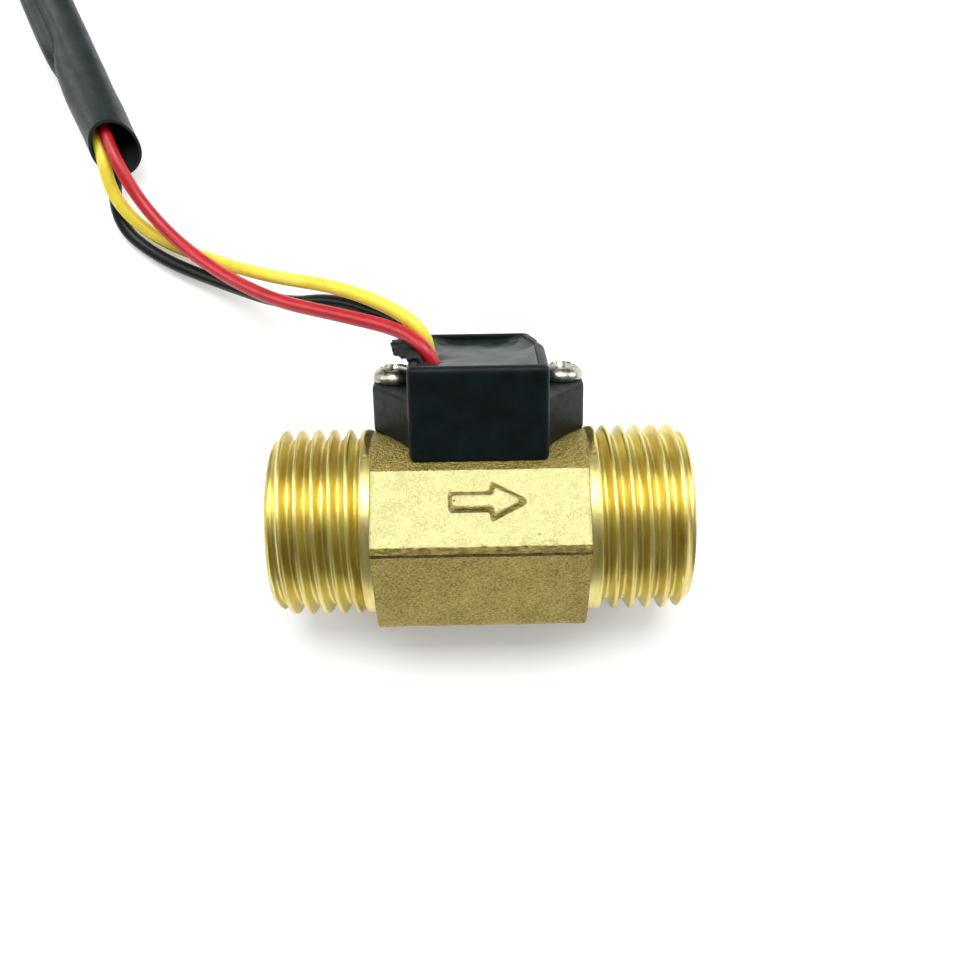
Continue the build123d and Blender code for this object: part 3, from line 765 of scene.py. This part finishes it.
def housing():
    """The cup with its ears, its moulded edges and corners rounded softly."""
    mesh = nodes["sensor_housing"].data.copy()
    mesh.materials.clear()
    mesh.materials.append(housing_black)
    piece = bpy.data.objects.new("sensor_housing_shell", mesh)
    bpy.context.scene.collection.objects.link(piece)
    skin = piece.modifiers.new("skin", "REMESH")
    skin.mode = "VOXEL"
    skin.voxel_size = HOUSING_VOXEL * MM
    skin.use_smooth_shade = True
    soft = piece.modifiers.new("soft", "SMOOTH")
    soft.factor = 0.5
    soft.iterations = HOUSING_SMOOTHING
    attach(piece, BODY)
    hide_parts("sensor_housing")


def recess_depth(u, v):
    """Share of the cross recess's depth at a place on a screw head."""
    side, end = (0.26, 0.44), (1.2, 1.6)
    arms = [
        (1 - smooth_step(*side, abs(across))) * (1 - smooth_step(*end, abs(along)))
        for across, along in ((u, v), (v, u))
    ]
    return max(arms)


def screw(node, side):
    """A domed pan head with its cross recess, over the shank."""
    count, steps = 96, 28
    edge_height = 0.35
    shoulder = SCREW_SEAT + edge_height
    recessed_above = shoulder + 0.3
    profile = [
        (0.5 * SCREW_SHANK, SCREW_TIP),
        (SCREW_SHANK, SCREW_TIP + 0.5),
        (SCREW_SHANK, SCREW_SEAT),
        (SCREW_HEAD - 0.25, SCREW_SEAT),
        (SCREW_HEAD - 0.05, SCREW_SEAT + 0.08),
        (SCREW_HEAD, shoulder),
    ]
    for k in range(1, steps):
        rise = math.pi / 2 * k / steps
        height = shoulder + (SCREW_HEAD_HEIGHT - edge_height) * math.sin(rise)
        profile.append((SCREW_HEAD * math.cos(rise), height))
    points = []
    for radius, height in profile:
        for i in range(count):
            angle = 2 * math.pi * i / count
            u, v = radius * math.cos(angle), radius * math.sin(angle)
            sunk = SCREW_RECESS * recess_depth(u, v) if height > recessed_above else 0.0
            points.append(lay(side * SCREW_X + u, SCREW_Y + v, height - sunk))
    faces = [tuple(range(count)), tuple((len(profile) - 1) * count + i for i in range(count))]
    for k in range(len(profile) - 1):
        faces += band_faces(k * count, (k + 1) * count, count)
    piece = new_piece(node + "_head", points, faces, [nickel], sharp=45.0)
    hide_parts(node)


housing()
screw("screw_left", -1)
screw("screw_right", 1)


# Lead: control points in millimetres, placed to follow the photograph near the CAD's tubes

RED_ROUTE = (
    (-4.6, 15.7, 18.2),
    (-5.1, 17.5, 19.7),
    (-8.2, 20.5, 17.3),
    (-15.3, 23.1, 14.0),
    (-24.7, 26.5, 8.8),
    (-34.3, 33.0, 4.2),
    (-40.9, 39.6, 3.9),
    (-44.5, 46.4, 6.6),
    (-46.3, 51.6, 5.0),
)
YELLOW_ROUTE = (
    (-5.5, 17.8, 14.1),
    (-5.3, 19.3, 16.9),
    (-7.9, 22.4, 16.8),
    (-15.2, 26.3, 14.2),
    (-24.3, 29.2, 8.9),
    (-32.6, 33.4, 1.8),
    (-39.9, 36.4, 1.4),
    (-44.6, 40.6, 3.4),
    (-45.5, 45.9, 5.9),
    (-47.4, 51.2, 4.2),
)
BLACK_ROUTE = (
    (-5.2, 18.3, 12.3),
    (-5.6, 20.4, 14.6),
    (-9.2, 22.6, 13.7),
    (-16.6, 26.0, 10.6),
    (-22.9, 26.4, 6.8),
    (-31.4, 30.3, 2.6),
    (-39.9, 34.2, 0.9),
    (-45.2, 38.8, 1.1),
    (-44.3, 45.8, 4.3),
    (-46.6, 51.2, 2.9),
)
SLEEVE_ROUTE = (
    (-43.9, 46.6, 5.6),
    (-46.7, 52.2, 3.8),
    (-50.7, 60.4, 3.0),
    (-55.2, 70.4, 3.0),
    (-58.4, 81.6, 3.0),
    (-59.4, 90.6, 3.0),
    (-59.8, 98.6, 3.0),
)
TAIL_ROUTES = {
    "tail_red": ((-19.4, 132.6, 3.6), (-15.6, 129.4, 3.4), (-18.5, 120.2, 2.7), (-18.5, 113.0, 2.7)),
    "tail_yellow": ((-20.2, 132.4, 2.2), (-18.2, 127.4, 2.3), (-21.0, 119.6, 2.7), (-21.0, 113.0, 2.7)),
    "tail_black": ((-20.8, 132.0, 3.9), (-20.6, 126.2, 3.4), (-23.5, 119.6, 2.7), (-23.5, 113.0, 2.7)),
}


def cord_curve(name, route):
    """A smooth NURBS line through open space, with the route as its control points."""
    curve = bpy.data.curves.new(name, "CURVE")
    curve.dimensions = "3D"
    spline = curve.splines.new("NURBS")
    spline.points.add(len(route) - 1)
    for point, place in zip(spline.points, route):
        point.co = (*(value * MM for value in place), 1.0)
    spline.order_u = 3
    spline.use_endpoint_u = True
    curve.resolution_u = 10
    piece = bpy.data.objects.new(name, curve)
    bpy.context.scene.collection.objects.link(piece)
    return piece


def wire(name, route, material, node):
    piece = cord_curve(name, route)
    piece.data.bevel_depth = WIRE_RADIUS
    piece.data.bevel_resolution = 6
    piece.data.use_fill_caps = True
    piece.data.materials.append(material)
    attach(piece, BODY)
    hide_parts(node)
    return piece


def line_points(piece):
    """The points of a curve's own line."""
    mesh = bpy.data.meshes.new_from_object(piece)
    places = [vertex.co.copy() for vertex in mesh.vertices]
    bpy.data.meshes.remove(mesh)
    return places


for node, route, material, slot in (
    ("wire_red", RED_ROUTE, red_vinyl, "red_insulation"),
    ("wire_yellow", YELLOW_ROUTE, yellow_vinyl, "yellow_insulation"),
    ("wire_black", BLACK_ROUTE, black_vinyl, "black_insulation"),
):
    piece = wire(node + "_line", route, material, node)


def coil_route():
    """One turn and a quarter, the second pass inside the first."""
    # The curve runs a little inside its control points, so they are moved out
    corner_gain = 1 / 0.975
    points_a_turn, point_count = 14, 18
    step = math.radians(360 / points_a_turn)
    points = []
    for k in range(point_count):
        wound = k * step
        inwards = smooth_step(math.radians(100), math.radians(350), wound)
        reach = corner_gain * (COIL_OUTER + (COIL_INNER - COIL_OUTER) * inwards)
        angle = math.pi - wound
        x = COIL_CENTRE[0] + reach * math.cos(angle)
        y = COIL_CENTRE[1] + reach * math.sin(angle)
        points.append((x, y, SLEEVE_REST_HEIGHT))
    return tuple(points)


def sleeve_section(place, along, side, top, distance, radius, count):
    """A ring of the sleeve: pinched and creased a little way along, cut aslant at the mouth."""
    mouth_cut, mouth_length = 0.62, 9.0
    pinch_at, pinch_length = 17.0, 5.5
    wider, flatter = 0.035, 0.09
    ripple_depth, ripple_length = 0.035, 42.0
    crease_most, crease_width = 0.26, 0.32
    reached = distance / MM
    pinch = math.exp(-(((reached - pinch_at) / pinch_length) ** 2))
    loose = math.exp(-((reached / ripple_length) ** 2))
    crease = math.radians(186 - 66 * smooth_step(11.0, pinch_at, reached))
    crease_depth = crease_most * smooth_step(9.0, 12.5, reached) * (1 - smooth_step(20.0, 34.0, reached))
    slant = max(0.0, 1 - distance / (mouth_length * MM))
    ring = []
    for i in range(count):
        angle = 2 * math.pi * i / count
        across = math.cos(angle)
        height = math.sin(angle)
        ripple = 1 + ripple_depth * loose * noise.noise((reached * 0.25, across * 1.4, height * 1.4 + 7))
        dent = 1 - crease_depth * math.exp(-(((angle - crease) / crease_width) ** 2))
        wide = radius * (1 + wider * pinch) * ripple * dent
        high = radius * (1 - flatter * pinch) * ripple * dent
        point = place + side * across * wide + top * height * high
        point += along * height * radius * mouth_cut * slant
        ring.append(point)
    return ring


def sleeve_and_coil():
    """The loose sleeve with its open mouth, and the coil that it goes on into."""
    guide = cord_curve("sleeve_guide", SLEEVE_ROUTE + coil_route())
    path = line_points(guide)
    bpy.data.objects.remove(guide)
    count = 60
    open_length = 13.0 * MM
    points = []
    rings = []
    travelled = 0.0
    up = Vector((0, 0, 1))
    previous = path[0]
    for index, place in enumerate(path):
        travelled += (place - previous).length
        previous = place
        behind = path[max(0, index - 1)]
        ahead = path[min(len(path) - 1, index + 1)]
        along = (ahead - behind).normalized()
        side = along.cross(up).normalized()
        top = side.cross(along).normalized()
        rings.append((place, along, side, top, travelled))
    for ring in rings:
        points += sleeve_section(*ring, SLEEVE_RADIUS, count)
    last_outer = len(points) - count
    inner_rings = [ring for ring in rings if ring[-1] < open_length]
    inner_start = len(points)
    for ring in inner_rings:
        points += sleeve_section(*ring, SLEEVE_RADIUS - SLEEVE_WALL, count)
    faces = []
    for k in range(len(rings) - 1):
        faces += band_faces(k * count, (k + 1) * count, count)
    outer_faces = len(faces)
    faces += band_faces(0, inner_start, count)
    for k in range(len(inner_rings) - 1):
        faces += band_faces(inner_start + k * count, inner_start + (k + 1) * count, count)
    faces.append(tuple(inner_start + (len(inner_rings) - 1) * count + i for i in range(count)))
    faces.append(tuple(last_outer + i for i in range(count)))
    outside = outer_faces + count
    kinds = [0] * outside + [1] * (len(faces) - outside)
    piece = new_piece("lead_sleeve_line", points, faces, [sleeve_vinyl, sleeve_inside], face_materials=kinds)
    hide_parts("lead_sleeve", "lead_coil")
    return piece, path


sleeve, sleeve_path = sleeve_and_coil()
FAR_NODES = ("cable_tie", "connector_housing", "contact_1", "contact_2", "contact_3")
far_pieces = [nodes[name] for name in FAR_NODES]
for node, material, slot in (
    ("tail_red", red_vinyl, "red_insulation"),
    ("tail_yellow", yellow_vinyl, "yellow_insulation"),
    ("tail_black", black_vinyl, "black_insulation"),
):
    far_pieces.append(wire(node + "_line", TAIL_ROUTES[node], material, node))


# CAD nodes that stay, each with its own material

NODE_MATERIALS = {
    "circuit_board": board_green,
    "hall_sensor": element_black,
    "chip_capacitor": ceramic,
    "chip_resistor": ceramic,
    "solder_joints": tin,
    "flow_guide": acetal,
    "turbine_rotor": acetal,
    "rotor_magnet": magnet_grey,
    "rotor_shaft": stainless,
    "rear_support": acetal,
    "retaining_ring": stainless,
    "cable_tie": nylon_black,
    "connector_housing": nylon_natural,
    "contact_1": tin,
    "contact_2": tin,
    "contact_3": tin,
}
for node, material in NODE_MATERIALS.items():
    piece = nodes[node]
    if not piece.material_slots:
        piece.data.materials.append(material)
    for slot in piece.material_slots:
        slot.material = material


# Stage, lights and camera


def floor():
    """A pale table top, wide enough to fill the picture."""
    finish = Finish("pale_table", Emission_Strength=TABLE_GLOW)
    finish.colour(finish.noise(60.0), (0.4, (0.86, 0.86, 0.855)), (0.6, (0.9, 0.9, 0.895)))
    finish.rough(finish.noise(40.0), 0.75, 0.85)
    mesh = bpy.data.meshes.new("table")
    reach = 3.0
    corners = [(-reach, -reach, 0), (reach, -reach, 0), (reach, reach, 0), (-reach, reach, 0)]
    mesh.from_pydata(corners, [], [(0, 1, 2, 3)])
    mesh.materials.append(finish.material)
    table = bpy.data.objects.new("table", mesh)
    bpy.context.scene.collection.objects.link(table)


def softbox(name, place, target, width, height, power):
    light = bpy.data.lights.new(name, "AREA")
    light.shape = "RECTANGLE"
    light.size = width
    light.size_y = height
    light.energy = power
    lamp = bpy.data.objects.new(name, light)
    lamp.location = place
    lamp.rotation_euler = (Vector(target) - Vector(place)).to_track_quat("-Z", "Y").to_euler()
    bpy.context.scene.collection.objects.link(lamp)


def backdrop_light(strength):
    world = bpy.data.worlds.new("studio")
    world.use_nodes = True
    background = world.node_tree.nodes["Background"]
    background.inputs["Color"].default_value = (1.0, 1.0, 1.0, 1)
    background.inputs["Strength"].default_value = strength
    bpy.context.scene.world = world


def camera():
    """The camera as fitted to the photograph."""
    data = bpy.data.cameras.new("camera")
    data.sensor_width = 36.0
    data.lens = CAMERA_LENS
    data.clip_start = 0.01
    data.clip_end = 20.0
    right = Vector(CAMERA_RIGHT).normalized()
    forward = Vector(CAMERA_FORWARD).normalized()
    up = right.cross(forward).normalized()
    right = forward.cross(up)
    turn = Matrix((right, up, -forward)).transposed().to_4x4()
    eye = bpy.data.objects.new("camera", data)
    eye.matrix_world = Matrix.Translation(Vector(CAMERA_PLACE) * MM) @ turn
    bpy.context.scene.collection.objects.link(eye)
    bpy.context.scene.camera = eye


floor()
softbox("key", (0.0, 0.32, 0.62), (0, 0.01, 0.01), 0.6, 0.42, KEY_POWER)
softbox("left_fill", (-0.6, 0.26, 0.38), (0, 0, 0.01), 0.45, 0.5, FILL_POWER)
softbox("right_fill", (0.6, 0.26, 0.38), (0, 0, 0.01), 0.45, 0.5, FILL_POWER)
backdrop_light(WORLD_STRENGTH)
camera()
bpy.context.scene.view_settings.view_transform = "Standard"
